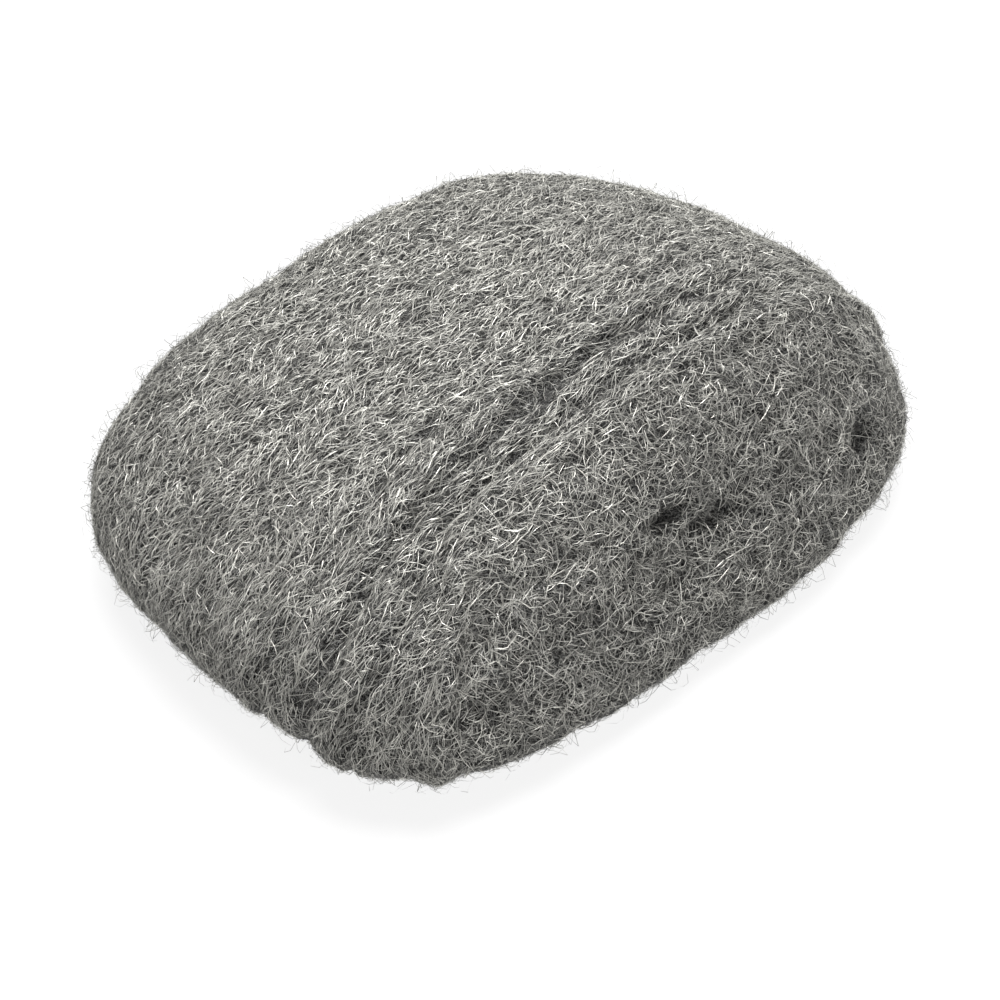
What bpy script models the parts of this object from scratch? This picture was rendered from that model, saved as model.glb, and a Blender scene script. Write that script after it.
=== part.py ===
"""Steel wool bundle: one strip of coarse steel wool wound flat into a soft hand pad.

The wrap runs along X, the winding axis along Y, and the pad lies on its flattened underside.
Metres, +Z up, origin under the middle of the pad at the level that it rests on.
"""
import math

import bmesh
import bpy
from mathutils import Vector

MM = 0.001

# Driving dimensions of the pad.
HALF_LENGTH = 49.2 * MM       # along the wrap
HALF_WIDTH = 36.4 * MM        # along the winding axis
CROWN = 20.8 * MM             # height of the upper half at the middle
BELLY = 9.6 * MM              # depth of the lower half before it is flattened
BASE_LEVEL = -8.5 * MM        # the weight presses the belly flat at this level

# Roundness of the form, as superellipse exponents: 2 is an ellipse, more is squarer.
ROUND_WRAP_LEFT = 3.2
ROUND_WRAP_RIGHT = 2.5
ROUND_BELLY = 2.65
ROUND_ROLL_FRONT = 3.7
ROUND_ROLL_BACK = 3.5

# How the loaf differs from an even cushion.
TAPER_LENGTH = -0.05          # the far roll end is shorter than the near one
TAPER_CROWN = -0.12           # and lower
RISE_RIGHT = 0.27             # the crown climbs towards +X
CROWN_ARCH = 0.30             # and falls away to both wrap ends
FAR_BOW = 0.095               # the far roll end swells at its middle
RIGHT_BOW = 0.075             # and so does the right wrap end
END_LEAN = 0.50               # the near roll end slopes back from its foot to its ridge

# The cage that is subdivided: cells along X, Y and Z.
CELLS = (14, 11, 6)
SMOOTH_LEVELS = 1

# Furrows between the laps of the strip that run round the top: Y, depth and half width.
LAP_FURROWS = ((-14.6 * MM, 0.8 * MM, 3.0 * MM), (-20.0 * MM, 0.5 * MM, 2.4 * MM))
FURROW_FADE_X = (10.0 * MM, 34.0 * MM)

# The two roll ends: flattened rings of the winding round a slit-like eye.
EYE_X = 1.5 * MM
EYE_Z = 5.5 * MM
EYE_HALF_LENGTH = 9.0 * MM
EYE_HALF_HEIGHT = 2.2 * MM
EYE_DEPTH = 2.4 * MM
RING_PITCH = 5.2 * MM
RING_DEPTH = 0.45 * MM
RING_REACH = 13.0 * MM
ROLL_END_START = 0.62         # share of the half width where the roll end begins

STEEL_WOOL_COLOUR = (0.21, 0.205, 0.19, 1.0)
STEEL_WOOL_ROUGHNESS = 0.5


def smoothstep(low, high, value):
    """A soft step from 0 at low to 1 at high."""
    share = min(max((value - low) / (high - low), 0.0), 1.0)
    return share * share * (3.0 - 2.0 * share)


def clear_scene():
    """Remove every object that is already in the scene."""
    for leftover in list(bpy.data.objects):
        bpy.data.objects.remove(leftover, do_unlink=True)


def steel_wool_material():
    """Dull grey metal."""
    material = bpy.data.materials.new("steel_wool")
    material.use_nodes = True
    shader = material.node_tree.nodes["Principled BSDF"]
    shader.inputs["Base Color"].default_value = STEEL_WOOL_COLOUR
    shader.inputs["Metallic"].default_value = 0.8
    shader.inputs["Roughness"].default_value = STEEL_WOOL_ROUGHNESS
    return material


def loaf_point(cube):
    """Move a point of the cube of half side 1 to its place on the loaf."""
    right = smoothstep(-0.6, 0.6, cube.x)
    round_top = ROUND_WRAP_LEFT + (ROUND_WRAP_RIGHT - ROUND_WRAP_LEFT) * right
    round_wrap = round_top if cube.z > 0.0 else ROUND_BELLY
    round_roll = ROUND_ROLL_BACK if cube.y > 0.0 else ROUND_ROLL_FRONT

    reach = (abs(cube.x) ** round_wrap + abs(cube.z) ** round_wrap) ** (1.0 / round_wrap)
    norm = (reach ** round_roll + abs(cube.y) ** round_roll) ** (1.0 / round_roll)
    unit = cube / norm

    if unit.z > 0.0:
        slope = 1.0 + TAPER_CROWN * unit.y + RISE_RIGHT * unit.x
        height = CROWN * slope * unit.z
    else:
        height = BELLY * unit.z
    width = HALF_WIDTH * unit.y + END_LEAN * height * max(-unit.y, 0.0)
    width += HALF_WIDTH * FAR_BOW * max(unit.y, 0.0) * (1.0 - unit.x ** 2)
    length = HALF_LENGTH * unit.x * (1.0 + TAPER_LENGTH * unit.y)
    length += HALF_LENGTH * RIGHT_BOW * max(unit.x, 0.0) * (1.0 - unit.y ** 2)
    if unit.z > 0.0:
        height *= 1.0 - CROWN_ARCH * unit.x ** 2
    return Vector((length, width, max(height, BASE_LEVEL)))


def make_cage():
    """A cube cut into cells and pushed out to the loaf."""
    cage = bmesh.new()
    bmesh.ops.create_cube(cage, size=2.0)
    for axis, cells in enumerate(CELLS):
        along = [edge for edge in cage.edges
                 if abs((edge.verts[1].co - edge.verts[0].co)[axis]) > 0.5]
        bmesh.ops.subdivide_edges(cage, edges=along, cuts=cells - 1, use_grid_fill=True)
    for vertex in cage.verts:
        vertex.co = loaf_point(vertex.co.copy())
    mesh = bpy.data.meshes.new("pad_cage")
    cage.to_mesh(mesh)
    cage.free()
    return mesh


def smoothed_mesh(cage_mesh, collection):
    """The cage after a Subdivision Surface modifier, as a mesh of its own."""
    holder = bpy.data.objects.new("pad_cage", cage_mesh)
    collection.objects.link(holder)
    smooth = holder.modifiers.new("smooth", "SUBSURF")
    smooth.levels = SMOOTH_LEVELS
    smooth.render_levels = SMOOTH_LEVELS
    evaluated = holder.evaluated_get(bpy.context.evaluated_depsgraph_get())
    mesh = bpy.data.meshes.new_from_object(evaluated)
    bpy.data.objects.remove(holder, do_unlink=True)
    return mesh


def furrow_depth(point, normal):
    """How deep the furrows between the laps are at a point of the wrapped surface."""
    if point.z < 0.0 and abs(normal.z) > 0.7:
        return 0.0
    fade = 1.0 - smoothstep(*FURROW_FADE_X, point.x)
    depth = 0.0
    for place, deepest, half_width in LAP_FURROWS:
        depth += deepest * math.exp(-((point.y - place) / half_width) ** 2)
    return depth * fade


def roll_end_depth(point, normal):
    """How deep the eye and the rings of the winding are at a point of a roll end."""
    facing = smoothstep(0.35, 0.8, abs(normal.y))
    across = (point.x - EYE_X) / EYE_HALF_LENGTH
    above = (point.z - EYE_Z) / EYE_HALF_HEIGHT
    eye = EYE_DEPTH * math.exp(-(across * across + above * above))

    outside = max(abs(point.x - EYE_X) - EYE_HALF_LENGTH * 2.4, 0.0)
    distance = math.hypot(outside, point.z - EYE_Z)
    ring = 0.5 - 0.5 * math.cos(2.0 * math.pi * distance / RING_PITCH)
    ring *= RING_DEPTH * (1.0 - smoothstep(RING_REACH * 0.6, RING_REACH, distance))
    return facing * (eye + ring)


def press_in_furrows(mesh):
    """Press the laps' furrows, the eyes and the winding rings into the surface."""
    mesh.update()
    moves = []
    for vertex in mesh.vertices:
        if vertex.co.z < BASE_LEVEL * 0.9:
            moves.append(Vector())
            continue
        is_roll_end = abs(vertex.co.y) > HALF_WIDTH * ROLL_END_START and abs(vertex.normal.y) > 0.35
        shape = roll_end_depth if is_roll_end else furrow_depth
        moves.append(-vertex.normal * shape(vertex.co, vertex.normal))
    for vertex, move in zip(mesh.vertices, moves):
        vertex.co += move


def stand_on_origin(mesh):
    """Put the middle of the pad's box over the origin, with its base at zero."""
    lows = [min(vertex.co[axis] for vertex in mesh.vertices) for axis in range(3)]
    highs = [max(vertex.co[axis] for vertex in mesh.vertices) for axis in range(3)]
    shift = Vector((-(lows[0] + highs[0]) / 2, -(lows[1] + highs[1]) / 2, -lows[2]))
    for vertex in mesh.vertices:
        vertex.co += shift


def make_bundle():
    """Build the wound pad as one closed solid."""
    collection = bpy.data.collections.new("steel_wool_bundle")
    bpy.context.scene.collection.children.link(collection)
    mesh = smoothed_mesh(make_cage(), collection)
    press_in_furrows(mesh)
    stand_on_origin(mesh)
    mesh.name = "wound_pad"
    mesh.shade_smooth()
    mesh.materials.append(steel_wool_material())
    pad = bpy.data.objects.new("wound_pad", mesh)
    collection.objects.link(pad)
    return pad


clear_scene()
make_bundle()
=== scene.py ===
"""Looks of the steel wool bundle: a felted core under a lay of curled steel fibres.

The fibres are flat curling strips, one face thick, because steel wool is shaved off as ribbon.
They are grown over the CAD pad: with the wrap on the crown and the wrap ends, round the winding on
the two roll ends, and loose at random as the fuzz that stands off every outline.
"""
import math

import bpy
import numpy as np
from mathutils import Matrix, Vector
from mathutils.bvhtree import BVHTree

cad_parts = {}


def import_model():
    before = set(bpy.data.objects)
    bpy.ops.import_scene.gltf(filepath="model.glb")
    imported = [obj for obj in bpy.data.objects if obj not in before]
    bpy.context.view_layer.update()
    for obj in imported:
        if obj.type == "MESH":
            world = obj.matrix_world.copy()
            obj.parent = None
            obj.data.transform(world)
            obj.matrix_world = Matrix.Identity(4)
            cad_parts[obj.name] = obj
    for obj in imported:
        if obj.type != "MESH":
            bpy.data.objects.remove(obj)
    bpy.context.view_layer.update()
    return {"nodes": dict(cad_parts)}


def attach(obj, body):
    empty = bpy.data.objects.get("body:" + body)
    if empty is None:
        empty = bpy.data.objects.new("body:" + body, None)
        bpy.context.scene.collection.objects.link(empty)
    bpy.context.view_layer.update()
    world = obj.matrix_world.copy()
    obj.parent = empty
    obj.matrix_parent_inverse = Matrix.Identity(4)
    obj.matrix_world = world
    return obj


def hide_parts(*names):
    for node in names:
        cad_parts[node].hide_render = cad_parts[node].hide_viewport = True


MM = 0.001
SEED = 20

PAD = "wound_pad"
WINDING_AXIS = np.array([0.0, 1.0, 0.0])

# The core under the fibres.
CORE_CELL = 0.8 * MM
CORE_INSET = 0.35 * MM
WELD_DISTANCE = 0.01 * MM
BASE_FACING = -0.85           # normals that point lower than this belong to the flat base
LOCK_HEIGHT = 0.07 * MM       # ridges that run with the wrap
LOCK_PITCH = 2.8 * MM
LOCK_STRETCH = 5.0            # how much longer than wide a lock is
LUMP_HEIGHT = 0.18 * MM
LUMP_PITCH = 11.0 * MM
CHART_MARGIN_U = 0.03
CHART_MARGIN_V = 0.02

# Soft swells and slack places in the winding: X, Y, Z, reach and height.
SWELLS = (
    (-48.0 * MM, -21.5 * MM, 4.0 * MM, 7.0 * MM, 1.0 * MM),
    (12.0 * MM, -37.5 * MM, 3.0 * MM, 11.0 * MM, 0.6 * MM),
    (49.0 * MM, -21.0 * MM, 7.0 * MM, 9.0 * MM, -0.9 * MM),
    (-45.5 * MM, 13.0 * MM, 15.0 * MM, 10.0 * MM, -0.9 * MM),
    (-23.0 * MM, 33.0 * MM, 16.0 * MM, 12.0 * MM, 0.7 * MM),
)

# Lines that run with the wrap across the crown: Y on the crown, then how far the line shifts in Y
# as it goes down the left wrap end (less than 0 is away from the far roll end).
NEAR_RIM = (-20.3 * MM, -12.5 * MM)
FAR_RIM = (29.0 * MM, 3.0 * MM)
LAP_FURROWS = ((-12.9 * MM, -4.5 * MM, 1.6 * MM, 1.0 * MM),      # with depth and half width
               (-17.0 * MM, -6.5 * MM, 1.4 * MM, 0.75 * MM),
               (-7.5 * MM, -3.5 * MM, 0.8 * MM, 0.8 * MM))
BEND_FROM = -22.0 * MM        # X where the shift starts, and where it is complete
BEND_TO = -46.0 * MM
FURROW_START = 38.0 * MM      # X where the furrows start, and where they have their full depth
FURROW_FULL = 22.0 * MM
TURN_INNER = 0.5 * MM         # how far inside a rim the roll end starts, and outside it is complete
TURN_OUTER = 3.0 * MM
LINE_WANDER = 0.6 * MM
WANDER_PITCH = LOCK_PITCH * 4.0
NEAR_RIM_HEIGHT = 0.9 * MM
FAR_RIM_HEIGHT = 0.2 * MM
RIM_HALF_WIDTH = 2.2 * MM

# The roll ends: the outer lap shows as a lip along the foot, and the winding closes round pits.
FOOT_LIP_Z = 9.5 * MM
FOOT_LIP_DEPTH = 0.55 * MM
FOOT_LIP_HALF_WIDTH = 0.8 * MM
PITS = (                      # X, Z, half length, half height, depth
    (-3.0 * MM, 18.8 * MM, 3.2 * MM, 1.0 * MM, 3.6 * MM),
    (3.5 * MM, 15.6 * MM, 5.5 * MM, 1.4 * MM, 1.7 * MM),
    (30.5 * MM, 12.2 * MM, 2.0 * MM, 1.4 * MM, 3.2 * MM),
    (-32.0 * MM, 17.5 * MM, 3.0 * MM, 1.2 * MM, 1.1 * MM),
    (-35.0 * MM, 11.5 * MM, 3.5 * MM, 1.2 * MM, 1.1 * MM),
    (-21.0 * MM, 20.0 * MM, 8.0 * MM, 1.1 * MM, 0.8 * MM),
    (-19.0 * MM, 14.5 * MM, 8.0 * MM, 1.0 * MM, 0.9 * MM),
    (-12.0 * MM, 11.8 * MM, 9.0 * MM, 0.9 * MM, 0.7 * MM),
    (16.0 * MM, 20.5 * MM, 9.0 * MM, 1.0 * MM, 0.7 * MM),
    (20.0 * MM, 14.0 * MM, 7.0 * MM, 0.9 * MM, 0.8 * MM),
)
FAR_PIT_SHARE = 0.45          # the winding closes more tightly at the far end
PIT_WANDER = 0.5              # how much of a line's wander the pits follow

# The eye of the winding, from the middle of each roll end.
EYE_OFFSET = Vector((1.5 * MM, 0.0, 0.0))
RING_FLATNESS = 2.6

# The fibres: where they lie.
GROUND_GAP = 0.08 * MM
PIT_BARENESS = 0.9            # how much thinner the fibres lie in the pits and furrows
SHALLOW_HOLLOW = 0.25 * MM    # the depths at which they start to thin and are thinnest
DEEP_HOLLOW = 1.0 * MM
CROWN_FACING = 0.5            # normals that point higher than this belong to the crown
UNDERSIDE_FACING = -0.6       # and lower than this to the underside

# The fibres: how they run.
FIBRE_SEGMENTS = 4
DRIFT = 0.22                  # how far neighbouring fibres turn together, in radians
DRIFT_PITCH = LOCK_PITCH * 3.0
SWING = 1.1                   # how far the curl varies along a fibre, against its mean
ARCH_POWER = 0.6
RIPPLE = 0.12 * MM
LAID_DIVE = 0.35 * MM         # how deep both ends of a laid fibre go under
LOOSE_DIVE = 0.3 * MM
LOOSE_MEAN = 0.45             # mean height of the loose fibres, against their reach
LOOSE_HIGHEST = 2.0
LOOSE_TURN = (0.5, 1.15)      # half turns that a loose fibre makes
LOOSE_LAST = 0.95             # the half turn at which it stops

# The fibres: strips and tones.
STRIP_ROLL = 0.45             # how far the strips lean off the surface, in radians
STRIP_TWIST = 0.8
STRIP_END = 0.45              # how wide a strip is at its ends
STRIP_TONE_WIDTH = 0.004
UV_MARGIN = 0.03
TONE_SCATTER = 0.07
TONE_LIMITS = (0.03, 0.97)
END_PAINTED_SHADE = 0.08              # painted shade: how much darker the fibres are on the roll ends
END_CONTRAST = 0.4            # how much more the tones differ on the roll ends: deep fibres get more painted shade, top fibres are painted lighter

# The laid layers, from the deep lay outwards: count, lowest and highest lie, and tone. The tones are
# painted shade: the deeper a layer lies, the darker it is painted.
LAID_LAYERS = (
    (17000, -0.3 * MM, -0.05 * MM, 0.05),
    (24500, -0.1 * MM, 0.15 * MM, 0.14),
    (24500, 0.05 * MM, 0.35 * MM, 0.76),
)
CURLED_COUNT = 24500
LOOSE_COUNT = 22000

# Camera, as azimuth and elevation round the pad's middle.
CAMERA_AZIMUTH = -45.5
CAMERA_ELEVATION = 40.8
CAMERA_DISTANCE = 404.8 * MM
CAMERA_LENS = 118.6           # in millimetres, like the sensor
CAMERA_SENSOR = 36.0
CAMERA_AIM_RIGHT = 0.3 * MM
CAMERA_AIM_UP = -6.1 * MM
CAMERA_PIVOT_Z = 9.0 * MM

# A soft light overhead, a little from behind, and a weak one from the front, in white surroundings.
OVERHEAD_FROM = (0.32, 0.28, 1.0)
OVERHEAD_ANGLE = math.radians(40.0)
OVERHEAD_STRENGTH = 6.3
FRONT_FROM = (-0.35, -1.0, 0.75)
FRONT_ANGLE = math.radians(20.0)
FRONT_STRENGTH = 1.0
SURROUND_STRENGTH = 0.30
FLOOR_SIZE = 6.0
FLOOR_TONE = 0.10
FLOOR_GLOW = 0.86             # the floor is backlit, so that hardly any shadow shows on it
BACKDROP_RADIUS = 2.8
BACKDROP_HEIGHT = 0.8
BACKDROP_MIDDLE = 0.39        # its foot goes a little under the floor
BACKDROP_TONE = 0.05
BACKDROP_GLOW = 1.0


# ---------------------------------------------------------------- noise and surface

def unit(vectors):
    """Rows scaled to length 1."""
    lengths = np.linalg.norm(vectors, axis=-1, keepdims=True)
    return vectors / np.maximum(lengths, 1e-12)


def wave_noise(points, pitch, seed, waves=9):
    """Smooth noise from about -1 to 1: plane waves of random direction and like wavelength."""
    rng = np.random.default_rng(seed)
    directions = unit(rng.normal(size=(waves, 3)))
    numbers = 2.0 * math.pi / pitch * rng.uniform(0.6, 1.5, waves)
    phases = rng.uniform(0.0, 2.0 * math.pi, waves)
    total = np.zeros(len(points))
    for direction, number, phase in zip(directions, numbers, phases):
        total += np.sin(points @ direction * number + phase)
    return total / math.sqrt(waves)


def along_wrap(points):
    """Points squeezed along the wrap, so that noise on them comes out as long locks."""
    return points / np.array([LOCK_STRETCH, 1.0, LOCK_STRETCH])


def smoothstep(low, high, values):
    """A soft step from 0 at low to 1 at high."""
    share = np.clip((values - low) / (high - low), 0.0, 1.0)
    return share * share * (3.0 - 2.0 * share)


def beyond_line(places, level, bend):
    """How far places lie from a line of the wrap, towards +Y."""
    line = level + bend * smoothstep(BEND_FROM, BEND_TO, places[:, 0])
    return places[:, 1] - line


def roll_end_share(places, far_share=1.0):
    """0 on the wrapped faces, 1 on the near roll end and far_share on the far one."""
    near = smoothstep(TURN_INNER, -TURN_OUTER, beyond_line(places, *NEAR_RIM))
    far = smoothstep(-TURN_INNER, TURN_OUTER, beyond_line(places, *FAR_RIM))
    return np.maximum(near, far * far_share)


def hollows(places):
    """Depth of the furrows between the laps, of the foot's lip and of the pits in the roll ends."""
    wander = LINE_WANDER * wave_noise(along_wrap(places), WANDER_PITCH, SEED + 5)
    on_end = roll_end_share(places)
    pitted = roll_end_share(places, FAR_PIT_SHARE)
    fade = smoothstep(FURROW_START, FURROW_FULL, places[:, 0])
    depth = np.zeros(len(places))
    for level, bend, deepest, half_width in LAP_FURROWS:
        across = (beyond_line(places, level, bend) + wander) / half_width
        depth += deepest * np.exp(-across ** 2) * (1.0 - on_end) * fade
    lip = (places[:, 2] - FOOT_LIP_Z + wander) / FOOT_LIP_HALF_WIDTH
    depth += FOOT_LIP_DEPTH * np.exp(-lip ** 2) * on_end
    for x, z, half_length, half_height, deepest in PITS:
        across = (places[:, 0] - x) / half_length
        above = (places[:, 2] - z + wander * PIT_WANDER) / half_height
        depth += deepest * np.exp(-across ** 2 - above ** 2) * pitted
    return depth


def rims(places):
    """Height of the rims where the wrapped faces turn over into the roll ends."""
    height = np.zeros(len(places))
    for line, highest in ((NEAR_RIM, NEAR_RIM_HEIGHT), (FAR_RIM, FAR_RIM_HEIGHT)):
        across = beyond_line(places, *line) / RIM_HALF_WIDTH
        height += highest * (1.0 - across ** 2) * np.exp(-across ** 2)
    return height


def swells(places):
    """Height of the broad swells, where the winding is fuller or slacker."""
    height = np.zeros(len(places))
    for x, y, z, reach, highest in SWELLS:
        away = ((places - np.array([x, y, z])) ** 2).sum(1) / reach ** 2
        height += highest * np.exp(-away)
    return height


def inset(values, margin):
    """Values from 0 to 1, moved in from both ends by a margin."""
    return margin + (1.0 - 2.0 * margin) * values


def vertex_array(mesh, attribute):
    """A vertex attribute of a mesh, such as co or normal, as an array of rows."""
    values = np.empty(len(mesh.vertices) * 3)
    mesh.vertices.foreach_get(attribute, values)
    return values.reshape(-1, 3)


def make_core(pad):
    """A fine copy of the pad with locks and lumps, a little inside it."""
    core = bpy.data.objects.new("felted_core", pad.data.copy())
    bpy.context.scene.collection.objects.link(core)
    weld = core.modifiers.new("weld", "WELD")
    weld.merge_threshold = WELD_DISTANCE
    cells = core.modifiers.new("cells", "REMESH")
    cells.mode = "VOXEL"
    cells.voxel_size = CORE_CELL
    smooth = core.modifiers.new("smooth", "SMOOTH")
    smooth.factor = 0.5
    smooth.iterations = 3
    evaluated = core.evaluated_get(bpy.context.evaluated_depsgraph_get())
    mesh = bpy.data.meshes.new_from_object(evaluated)
    core.modifiers.clear()
    core.data = mesh
    mesh.name = "felted_core"

    places = vertex_array(mesh, "co")
    normals = vertex_array(mesh, "normal")
    locks = wave_noise(along_wrap(places), LOCK_PITCH, SEED + 1)
    lumps = wave_noise(places, LUMP_PITCH, SEED + 2)
    height = LOCK_HEIGHT * locks + LUMP_HEIGHT * lumps - CORE_INSET
    height += swells(places) + rims(places) - hollows(places)
    on_base = normals[:, 2] < BASE_FACING
    height[on_base] = -CORE_INSET
    places += normals * height[:, None]
    mesh.vertices.foreach_set("co", places.ravel())
    mesh.update()
    mesh.shade_smooth()
    return core


class Surface:
    """The core's surface, for finding the nearest place and the way the wrap runs there."""

    def __init__(self, mesh):
        places = vertex_array(mesh, "co")
        normals = vertex_array(mesh, "normal")
        corners = [tuple(polygon.vertices) for polygon in mesh.polygons]
        self.tree = BVHTree.FromPolygons([Vector(place) for place in places], corners)
        self.centres = np.array([places[list(face)].mean(0) for face in corners])
        self.normals = unit(np.array([normals[list(face)].mean(0) for face in corners]))
        self.areas = np.empty(len(corners))
        mesh.polygons.foreach_get("area", self.areas)
        self.eye = (places.min(0) + places.max(0)) / 2 + np.array(EYE_OFFSET)

    def nearest(self, points):
        """The nearest places on the surface, with smooth normals."""
        hits = [self.tree.find_nearest(point) for point in points.tolist()]
        found = np.array([hit[0] for hit in hits])
        faces = np.array([hit[2] for hit in hits])
        return found, self.normals[faces]

    def scatter(self, rng, count, weight):
        """Evenly spread places on the surface, with normals. weight takes places and normals."""
        shares = np.cumsum(self.areas * weight(self.centres, self.normals))
        picks = (np.arange(count) + rng.random(count)) * shares[-1] / count
        faces = np.minimum(np.searchsorted(shares, picks), len(shares) - 1)
        spread = rng.uniform(-0.5, 0.5, (count, 3)) * CORE_CELL
        return self.nearest(self.centres[faces] + spread)

    def wrap_direction(self, places, normals):
        """Along the wrap on the wrapped faces, and round the eye on the roll ends."""
        wrap = np.cross(WINDING_AXIS, normals)
        across = places[:, 0] - self.eye[0]
        above = (places[:, 2] - self.eye[2]) * RING_FLATNESS ** 2
        ring = np.stack([above, np.zeros(len(places)), -across], axis=1)
        ring -= normals * (ring * normals).sum(1, keepdims=True)
        share = roll_end_share(places)[:, None]
        return unit(unit(wrap) * (1.0 - share) + unit(ring) * share)


# ---------------------------------------------------------------- fibres

def turned(headings, normals, angles):
    """Headings turned about the surface normals by angles in radians."""
    sides = np.cross(normals, headings)
    return headings * np.cos(angles)[:, None] + sides * np.sin(angles)[:, None]


def fibre_paths(surface, rng, count, weight, length, spread, curl, heights):
    """Centre lines of fibres that follow the wrap: an array of count by points by 3, and normals.

    length is (shortest, longest). spread gives the scatter of headings in radians at each place, and
    curl the turning in radians per millimetre. heights takes rng, count and the shares of the way
    along, and gives each point's height over the core.
    """
    place, normal = surface.scatter(rng, count, weight)
    lengths = rng.uniform(*length, count)
    steps = lengths / FIBRE_SEGMENTS
    drift = DRIFT * wave_noise(along_wrap(place), DRIFT_PITCH, SEED + 3)
    angle = rng.normal(size=count) * spread(place) + drift
    heading = turned(surface.wrap_direction(place, normal), normal, angle)
    heading *= rng.choice([-1.0, 1.0], count)[:, None]
    bend = rng.normal(size=count) * curl(place) / MM
    swing = rng.normal(size=count) * curl(place) * SWING / MM
    phase = rng.uniform(0.0, 2.0 * math.pi, count)

    lines = [place]
    ups = [normal]
    for step in range(FIBRE_SEGMENTS):
        share = (step + 0.5) / FIBRE_SEGMENTS
        rate = bend + swing * np.sin(2.0 * math.pi * share + phase)
        heading = turned(heading, normal, rate * steps)
        target = lines[-1] + heading * steps[:, None]
        place, normal = surface.nearest(target)
        heading = unit(heading - normal * (heading * normal).sum(1, keepdims=True))
        lines.append(place)
        ups.append(normal)
    lines = np.stack(lines, axis=1)
    ups = np.stack(ups, axis=1)
    shares = np.linspace(0.0, 1.0, FIBRE_SEGMENTS + 1)
    rise = heights(rng, count, shares)
    return lines + ups * rise[..., None], ups


def laid_heights(low, high):
    """Heights of a fibre that lies in the felt: it comes up, runs level and goes under again."""
    def heights(rng, count, shares):
        level = rng.uniform(low, high, count)[:, None]
        arch = np.sin(math.pi * shares)[None, :] ** ARCH_POWER
        wave = rng.normal(size=(count, 1)) * RIPPLE * np.sin(3.0 * math.pi * shares)[None, :]
        return -LAID_DIVE + (level + LAID_DIVE) * arch + wave
    return heights


def loose_heights(reach):
    """Heights of a loose fibre: rooted in the felt at one end, free or looping over at the other."""
    def heights(rng, count, shares):
        top = (rng.exponential(LOOSE_MEAN, count) * reach)[:, None]
        top = np.minimum(top, reach * LOOSE_HIGHEST)
        turn_over = rng.uniform(*LOOSE_TURN, count)[:, None]
        turn = np.minimum(shares[None, :] * math.pi * turn_over, math.pi * LOOSE_LAST)
        return -LOOSE_DIVE + (top + LOOSE_DIVE) * np.sin(turn)
    return heights


def strip_piece(name, paths, ups, widest, tones, rng):
    """Build flat curling strips along centre lines, as one mesh. widest is half a strip's width.

    Each strip's tone is written as the first coordinate of its UV map, and the way along it as the
    second, so that the material and a baked copy of it read the same two numbers.
    """
    count, points, _ = paths.shape
    tangent = unit(np.gradient(paths, axis=1))
    side = unit(np.cross(tangent, ups))
    over = np.cross(side, tangent)
    roll = rng.normal(size=(count, 1)) * STRIP_ROLL
    twist = rng.normal(size=(count, 1)) * STRIP_TWIST * np.linspace(-1.0, 1.0, points)[None, :]
    turn = roll + twist
    shares = np.linspace(0.0, 1.0, points)
    bulge = np.sin(math.pi * shares)[None, :] ** 0.5
    half_width = widest[:, None] * (STRIP_END + (1.0 - STRIP_END) * bulge)
    offset = side * np.cos(turn)[..., None] + over * np.sin(turn)[..., None]
    offset *= half_width[..., None]
    vertices = np.stack([paths - offset, paths + offset], axis=2).reshape(-1, 3)

    first = np.arange(count)[:, None] * points * 2
    low = np.clip(tones - STRIP_TONE_WIDTH, 0.001, 0.999)
    high = np.clip(tones + STRIP_TONE_WIDTH, 0.001, 0.999)
    quads = []
    uvs = []
    for point in range(points - 1):
        here = point * 2
        quads.append(first + [here, here + 1, here + 3, here + 2])
        start = np.full(count, inset(shares[point], UV_MARGIN))
        end = np.full(count, inset(shares[point + 1], UV_MARGIN))
        corners = [(low, start), (high, start), (high, end), (low, end)]
        uvs.append(np.stack([np.stack(pair, axis=1) for pair in corners], axis=1))

    loops = np.concatenate(quads).ravel().astype(np.int32)
    mesh = bpy.data.meshes.new(name)
    mesh.vertices.add(len(vertices))
    mesh.vertices.foreach_set("co", vertices.ravel())
    mesh.loops.add(len(loops))
    mesh.loops.foreach_set("vertex_index", loops)
    mesh.polygons.add(len(loops) // 4)
    mesh.polygons.foreach_set("loop_start", np.arange(0, len(loops), 4, dtype=np.int32))
    mesh.update(calc_edges=True)
    layer = mesh.uv_layers.new(name="OFBake")
    layer.uv.foreach_set("vector", np.concatenate(uvs).ravel().astype(np.float32))
    mesh.validate()
    piece = bpy.data.objects.new(name, mesh)
    bpy.context.scene.collection.objects.link(piece)
    return piece


# ---------------------------------------------------------------- materials

def node(tree, kind, **values):
    """A shader node with some of its inputs set."""
    made = tree.nodes.new(kind)
    for key, value in values.items():
        made.inputs[key].default_value = value
    return made


def ramp(tree, source, stops):
    """A colour ramp fed by source. stops are pairs of a place and a colour."""
    made = tree.nodes.new("ShaderNodeValToRGB")
    elements = made.color_ramp.elements
    while len(elements) < len(stops):
        elements.new(0.5)
    for element, (place, colour) in zip(elements, stops):
        element.position = place
        element.color = (*colour, 1.0)
    tree.links.new(source, made.inputs["Fac"])
    return made.outputs["Color"]


GREEN_WARMTH = 0.15           # how much of the warmth green loses, against blue


def steel(level, warmth=0.05):
    """A grey steel colour, very slightly warm."""
    return (level, level * (1.0 - warmth * GREEN_WARMTH), level * (1.0 - warmth))


# Colour stops over the tone of a fibre, along it (painted shade towards both ends, where it dives
# into the felt) and, as roughness, over its tone again.
FIBRE_TONES = (
    (0.0, steel(0.004)),
    (0.3, steel(0.012)),
    (0.6, steel(0.12)),
    (0.8, steel(0.40)),
    (1.0, steel(0.70)),
)
FIBRE_END_SHADE = ((0.0, steel(0.2)), (0.25, steel(1.0)), (0.75, steel(1.0)), (1.0, steel(0.2)))
FIBRE_GLOSS = ((0.0, steel(0.60, 0.0)), (0.7, steel(0.50, 0.0)), (1.0, steel(0.38, 0.0)))
FIBRE_METALLIC = 0.35

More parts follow.
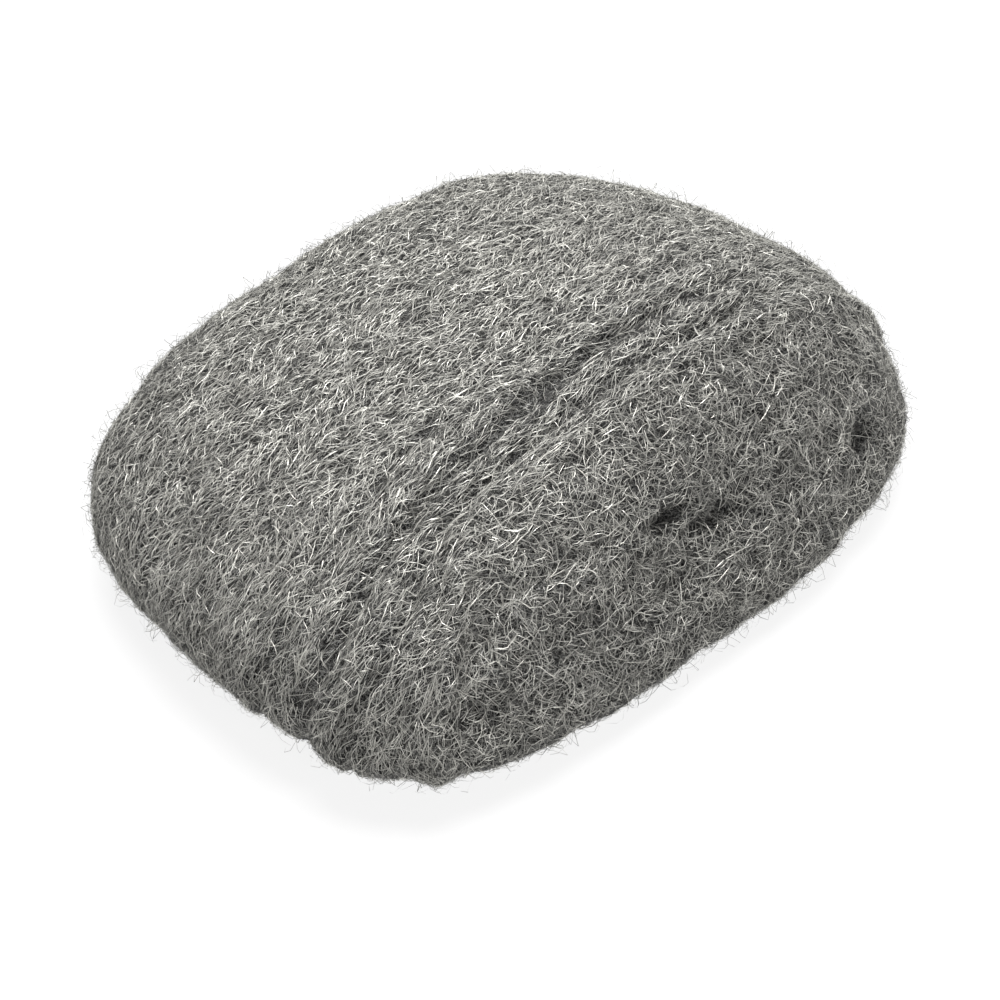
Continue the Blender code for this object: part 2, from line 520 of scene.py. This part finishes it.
# The felt of the core: strands as contours of a stretched noise, and stops over their strength.
STRAND_STRETCH = 4.0
STRAND_WIDTH = 0.06
STRAND_LAYERS = (             # turn in radians, scale
    (0.35, 2600.0),
    (-0.45, 3100.0),
    (1.3, 2900.0),
    (0.0, 3600.0),
)
STRAND_BUMP = 0.15 * MM
# Painted shade: the felt's gaps are near black, for the shade deep inside the wool.
CORE_SHADE_TONES = ((0.0, steel(0.004)), (0.5, steel(0.02)), (0.8, steel(0.08)), (1.0, steel(0.25)))
CORE_METALLIC = 0.8
CORE_ROUGHNESS = 0.5


def fibre_material():
    """Bare shaved steel: each strip has its own tone, and painted shade darkens it where it dives
    into the felt.
    """
    material = bpy.data.materials.new("steel_fibre")
    material.use_nodes = True
    tree = material.node_tree
    shader = tree.nodes["Principled BSDF"]
    shader.inputs["Metallic"].default_value = FIBRE_METALLIC
    uv = tree.nodes.new("ShaderNodeUVMap")
    uv.uv_map = "OFBake"
    parts = tree.nodes.new("ShaderNodeSeparateXYZ")
    tree.links.new(uv.outputs["UV"], parts.inputs["Vector"])
    tone = ramp(tree, parts.outputs["X"], FIBRE_TONES)
    # Painted shade: darker towards both ends of a strip, where it goes under the felt.
    along = ramp(tree, parts.outputs["Y"], FIBRE_END_SHADE)
    mix = tree.nodes.new("ShaderNodeMix")
    mix.data_type = "RGBA"
    mix.blend_type = "MULTIPLY"
    mix.inputs["Factor"].default_value = 1.0
    tree.links.new(tone, mix.inputs["A"])
    tree.links.new(along, mix.inputs["B"])
    tree.links.new(mix.outputs["Result"], shader.inputs["Base Color"])
    gloss = ramp(tree, parts.outputs["X"], FIBRE_GLOSS)
    tree.links.new(gloss, shader.inputs["Roughness"])
    return material


def strand_layer(tree, place, turn, scale):
    """Thin wandering lines that run with the wrap, turned by an angle: the contours of a noise."""
    rotate = tree.nodes.new("ShaderNodeMapping")
    rotate.inputs["Rotation"].default_value = (0.0, turn * 0.5, turn)
    tree.links.new(place, rotate.inputs["Vector"])
    squeeze = tree.nodes.new("ShaderNodeMapping")
    squeeze.inputs["Scale"].default_value = (1.0 / STRAND_STRETCH, 1.0, 1.0 / STRAND_STRETCH)
    tree.links.new(rotate.outputs["Vector"], squeeze.inputs["Vector"])
    noise = node(tree, "ShaderNodeTexNoise", Scale=scale, Detail=1.0, Distortion=0.6)
    tree.links.new(squeeze.outputs["Vector"], noise.inputs["Vector"])
    offset = node(tree, "ShaderNodeMath")
    offset.operation = "SUBTRACT"
    offset.inputs[1].default_value = 0.5
    tree.links.new(noise.outputs["Fac"], offset.inputs[0])
    distance = tree.nodes.new("ShaderNodeMath")
    distance.operation = "ABSOLUTE"
    tree.links.new(offset.outputs["Value"], distance.inputs[0])
    line = tree.nodes.new("ShaderNodeMapRange")
    line.inputs["From Min"].default_value = 0.0
    line.inputs["From Max"].default_value = STRAND_WIDTH
    line.inputs["To Min"].default_value = 1.0
    line.inputs["To Max"].default_value = 0.0
    tree.links.new(distance.outputs["Value"], line.inputs["Value"])
    return line.outputs["Result"]


def core_material():
    """The felt behind the top fibres: layers of fine bright strands over gaps painted dark as shade.
    """
    material = bpy.data.materials.new("steel_felt")
    material.use_nodes = True
    tree = material.node_tree
    shader = tree.nodes["Principled BSDF"]
    shader.inputs["Metallic"].default_value = CORE_METALLIC
    shader.inputs["Roughness"].default_value = CORE_ROUGHNESS
    place = tree.nodes.new("ShaderNodeTexCoord").outputs["Object"]
    strands = None
    for turn, scale in STRAND_LAYERS:
        layer = strand_layer(tree, place, turn, scale)
        if strands is None:
            strands = layer
            continue
        highest = tree.nodes.new("ShaderNodeMath")
        highest.operation = "MAXIMUM"
        tree.links.new(strands, highest.inputs[0])
        tree.links.new(layer, highest.inputs[1])
        strands = highest.outputs["Value"]
    tree.links.new(ramp(tree, strands, CORE_SHADE_TONES), shader.inputs["Base Color"])
    bump = node(tree, "ShaderNodeBump", Strength=0.8, Distance=STRAND_BUMP)
    tree.links.new(strands, bump.inputs["Height"])
    tree.links.new(bump.outputs["Normal"], shader.inputs["Normal"])
    return material


# ---------------------------------------------------------------- the pieces

def dress(piece, material):
    """Give a piece its material and the body that it rides on."""
    piece.data.materials.clear()
    piece.data.materials.append(material)
    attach(piece, "root")


def box_unwrap(mesh):
    """Lay the core out for baking: six flat charts, one for each side of its box."""
    places = vertex_array(mesh, "co")
    low, high = places.min(0), places.max(0)
    places = (places - low) / (high - low)
    loops = np.empty(len(mesh.loops), dtype=np.int32)
    mesh.loops.foreach_get("vertex_index", loops)
    facing = np.empty(len(mesh.polygons) * 3)
    mesh.polygons.foreach_get("normal", facing)
    facing = facing.reshape(-1, 3)
    sizes = np.empty(len(mesh.polygons), dtype=np.int32)
    mesh.polygons.foreach_get("loop_total", sizes)
    facing = np.repeat(facing, sizes, axis=0)
    axis = np.abs(facing).argmax(1)
    positive = facing[np.arange(len(facing)), axis] > 0.0
    across = np.where(axis == 0, 1, 0)
    above = np.where(axis == 2, 1, 2)
    u = (axis + inset(places[loops, across], CHART_MARGIN_U)) / 3.0
    v = (positive + inset(places[loops, above], CHART_MARGIN_V)) / 2.0
    layer = mesh.uv_layers.new(name="OFBake")
    layer.uv.foreach_set("vector", np.stack([u, v], axis=1).ravel().astype(np.float32))


def facing_weight(top, side, base, roll_end):
    """How thickly fibres lie on each part of the pad."""
    def weight(places, normals):
        up = normals[:, 2]
        below = np.where(up < UNDERSIDE_FACING, base, side)
        amount = np.where(up > CROWN_FACING, top, below)
        bare = PIT_BARENESS * smoothstep(SHALLOW_HOLLOW, DEEP_HOLLOW, hollows(places))
        return amount * (1.0 + (roll_end - 1.0) * roll_end_share(places)) * (1.0 - bare)
    return weight


def by_place(on_wrap, on_end):
    """A value that changes from the wrapped faces to the roll ends."""
    def value(places):
        return on_wrap + (on_end - on_wrap) * roll_end_share(places)
    return value


def grow(name, surface, seed, count, weight, length, spread, curl, heights, half_width, tone):
    """One piece of fibres."""
    rng = np.random.default_rng(seed)
    paths, ups = fibre_paths(surface, rng, count, weight, length, spread, curl, heights)
    paths[..., 2] = np.maximum(paths[..., 2], GROUND_GAP)
    half_widths = rng.uniform(*half_width, count)
    on_end = roll_end_share(paths[:, 0])
    # Painted shade: fibres on the roll ends are darkened.
    tones = rng.normal(tone, TONE_SCATTER, count) - END_PAINTED_SHADE * on_end
    # Painted shade and light on the roll ends: deep fibres are darkened further and top fibres
    # lightened.
    tones = 0.5 + (tones - 0.5) * (1.0 + END_CONTRAST * on_end)
    tones = np.clip(tones, *TONE_LIMITS)
    return strip_piece(name, paths, ups, half_widths, tones, rng)


def make_fibres(surface):
    """Every piece of fibres, from the deep lay out to the fuzz."""
    share = 1.0
    everywhere = facing_weight(top=1.0, side=1.05, base=0.25, roll_end=0.85)
    pieces = []
    for layer, (count, low, high, tone) in enumerate(LAID_LAYERS):
        pieces.append(grow(
            f"laid_fibres_{layer + 1}", surface, SEED + 10 + layer, int(count * share), everywhere,
            length=(3.0 * MM, 6.5 * MM),
            spread=by_place(0.30, 0.80),
            curl=by_place(0.10, 0.22),
            heights=laid_heights(low, high),
            half_width=(0.025 * MM, 0.045 * MM),
            tone=tone))
    pieces.append(grow(
        "curled_fibres", surface, SEED + 20, int(CURLED_COUNT * share), everywhere,
        length=(1.6 * MM, 4.5 * MM),
        spread=by_place(0.6, 1.2),
        curl=by_place(0.26, 0.38),
        heights=laid_heights(-0.05 * MM, 0.45 * MM),
        half_width=(0.022 * MM, 0.042 * MM),
        tone=0.80))
    pieces.append(grow(
        "loose_fuzz", surface, SEED + 30, int(LOOSE_COUNT * share),
        facing_weight(top=0.6, side=1.2, base=0.3, roll_end=1.2),
        length=(1.8 * MM, 4.5 * MM),
        spread=by_place(0.8, 1.4),
        curl=by_place(0.28, 0.40),
        heights=loose_heights(1.1 * MM),
        half_width=(0.018 * MM, 0.032 * MM),
        tone=0.68))
    return pieces


# ---------------------------------------------------------------- stage

def look_from(location, target, holder):
    """Turn an object that looks along its -Z so that it faces target."""
    holder.location = location
    holder.rotation_euler = (target - location).to_track_quat("-Z", "Y").to_euler()


def view_axes():
    """The camera's back, right and up directions."""
    azimuth = math.radians(CAMERA_AZIMUTH)
    elevation = math.radians(CAMERA_ELEVATION)
    back = Vector((math.sin(azimuth) * math.cos(elevation),
                   -math.cos(azimuth) * math.cos(elevation), math.sin(elevation)))
    right = Vector((math.cos(azimuth), math.sin(azimuth), 0.0))
    return back, right, back.cross(right)


def make_camera():
    """The camera, looking a little past the pad's middle so that the pad sits high in the frame."""
    back, right, up = view_axes()
    target = Vector((0.0, 0.0, CAMERA_PIVOT_Z)) + right * CAMERA_AIM_RIGHT + up * CAMERA_AIM_UP
    data = bpy.data.cameras.new("camera")
    data.sensor_width = CAMERA_SENSOR
    data.lens = CAMERA_LENS
    data.clip_start = 0.01
    data.clip_end = 10.0
    camera = bpy.data.objects.new("camera", data)
    bpy.context.scene.collection.objects.link(camera)
    look_from(target + back * CAMERA_DISTANCE, target, camera)
    bpy.context.scene.camera = camera


def sun_light(name, towards, angle, strength):
    """An even soft light from one side, like a large softbox far away."""
    data = bpy.data.lights.new(name, "SUN")
    data.angle = angle
    data.energy = strength
    light = bpy.data.objects.new(name, data)
    bpy.context.scene.collection.objects.link(light)
    look_from(Vector(towards), Vector(), light)


def pale_material(name, level, glow):
    """A matt white that is lit from behind."""
    material = bpy.data.materials.new(name)
    material.use_nodes = True
    shader = material.node_tree.nodes["Principled BSDF"]
    shader.inputs["Base Color"].default_value = (level, level, level, 1.0)
    shader.inputs["Roughness"].default_value = 0.9
    shader.inputs["Specular IOR Level"].default_value = 0.1
    shader.inputs["Emission Color"].default_value = (1.0, 1.0, 1.0, 1.0)
    shader.inputs["Emission Strength"].default_value = glow
    return material


def make_stage():
    """A pale floor with a low pale wall round it, white surroundings and soft lights."""
    bpy.ops.mesh.primitive_plane_add(size=FLOOR_SIZE)
    floor = bpy.context.object
    floor.name = "floor"
    floor.data.materials.append(pale_material("pale_floor", FLOOR_TONE, FLOOR_GLOW))
    bpy.ops.mesh.primitive_cylinder_add(
        vertices=96, radius=BACKDROP_RADIUS, depth=BACKDROP_HEIGHT, end_fill_type="NOTHING",
        location=(0.0, 0.0, BACKDROP_MIDDLE))
    backdrop = bpy.context.object
    backdrop.name = "backdrop"
    backdrop.data.materials.append(pale_material("pale_backdrop", BACKDROP_TONE, BACKDROP_GLOW))

    world = bpy.data.worlds.new("studio")
    world.use_nodes = True
    surround = world.node_tree.nodes["Background"]
    surround.inputs["Color"].default_value = (1.0, 1.0, 1.0, 1.0)
    surround.inputs["Strength"].default_value = SURROUND_STRENGTH
    bpy.context.scene.world = world

    sun_light("overhead", OVERHEAD_FROM, OVERHEAD_ANGLE, OVERHEAD_STRENGTH)
    sun_light("front", FRONT_FROM, FRONT_ANGLE, FRONT_STRENGTH)
    bpy.context.scene.view_settings.view_transform = "Standard"


def main():
    """Dress the pad and set up the stage and the camera."""
    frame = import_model()
    pad = frame["nodes"][PAD]
    core = make_core(pad)
    surface = Surface(core.data)
    box_unwrap(core.data)
    dress(core, core_material())
    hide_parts(PAD)
    steel_fibre = fibre_material()
    for piece in make_fibres(surface):
        dress(piece, steel_fibre)
    make_stage()
    make_camera()


main()
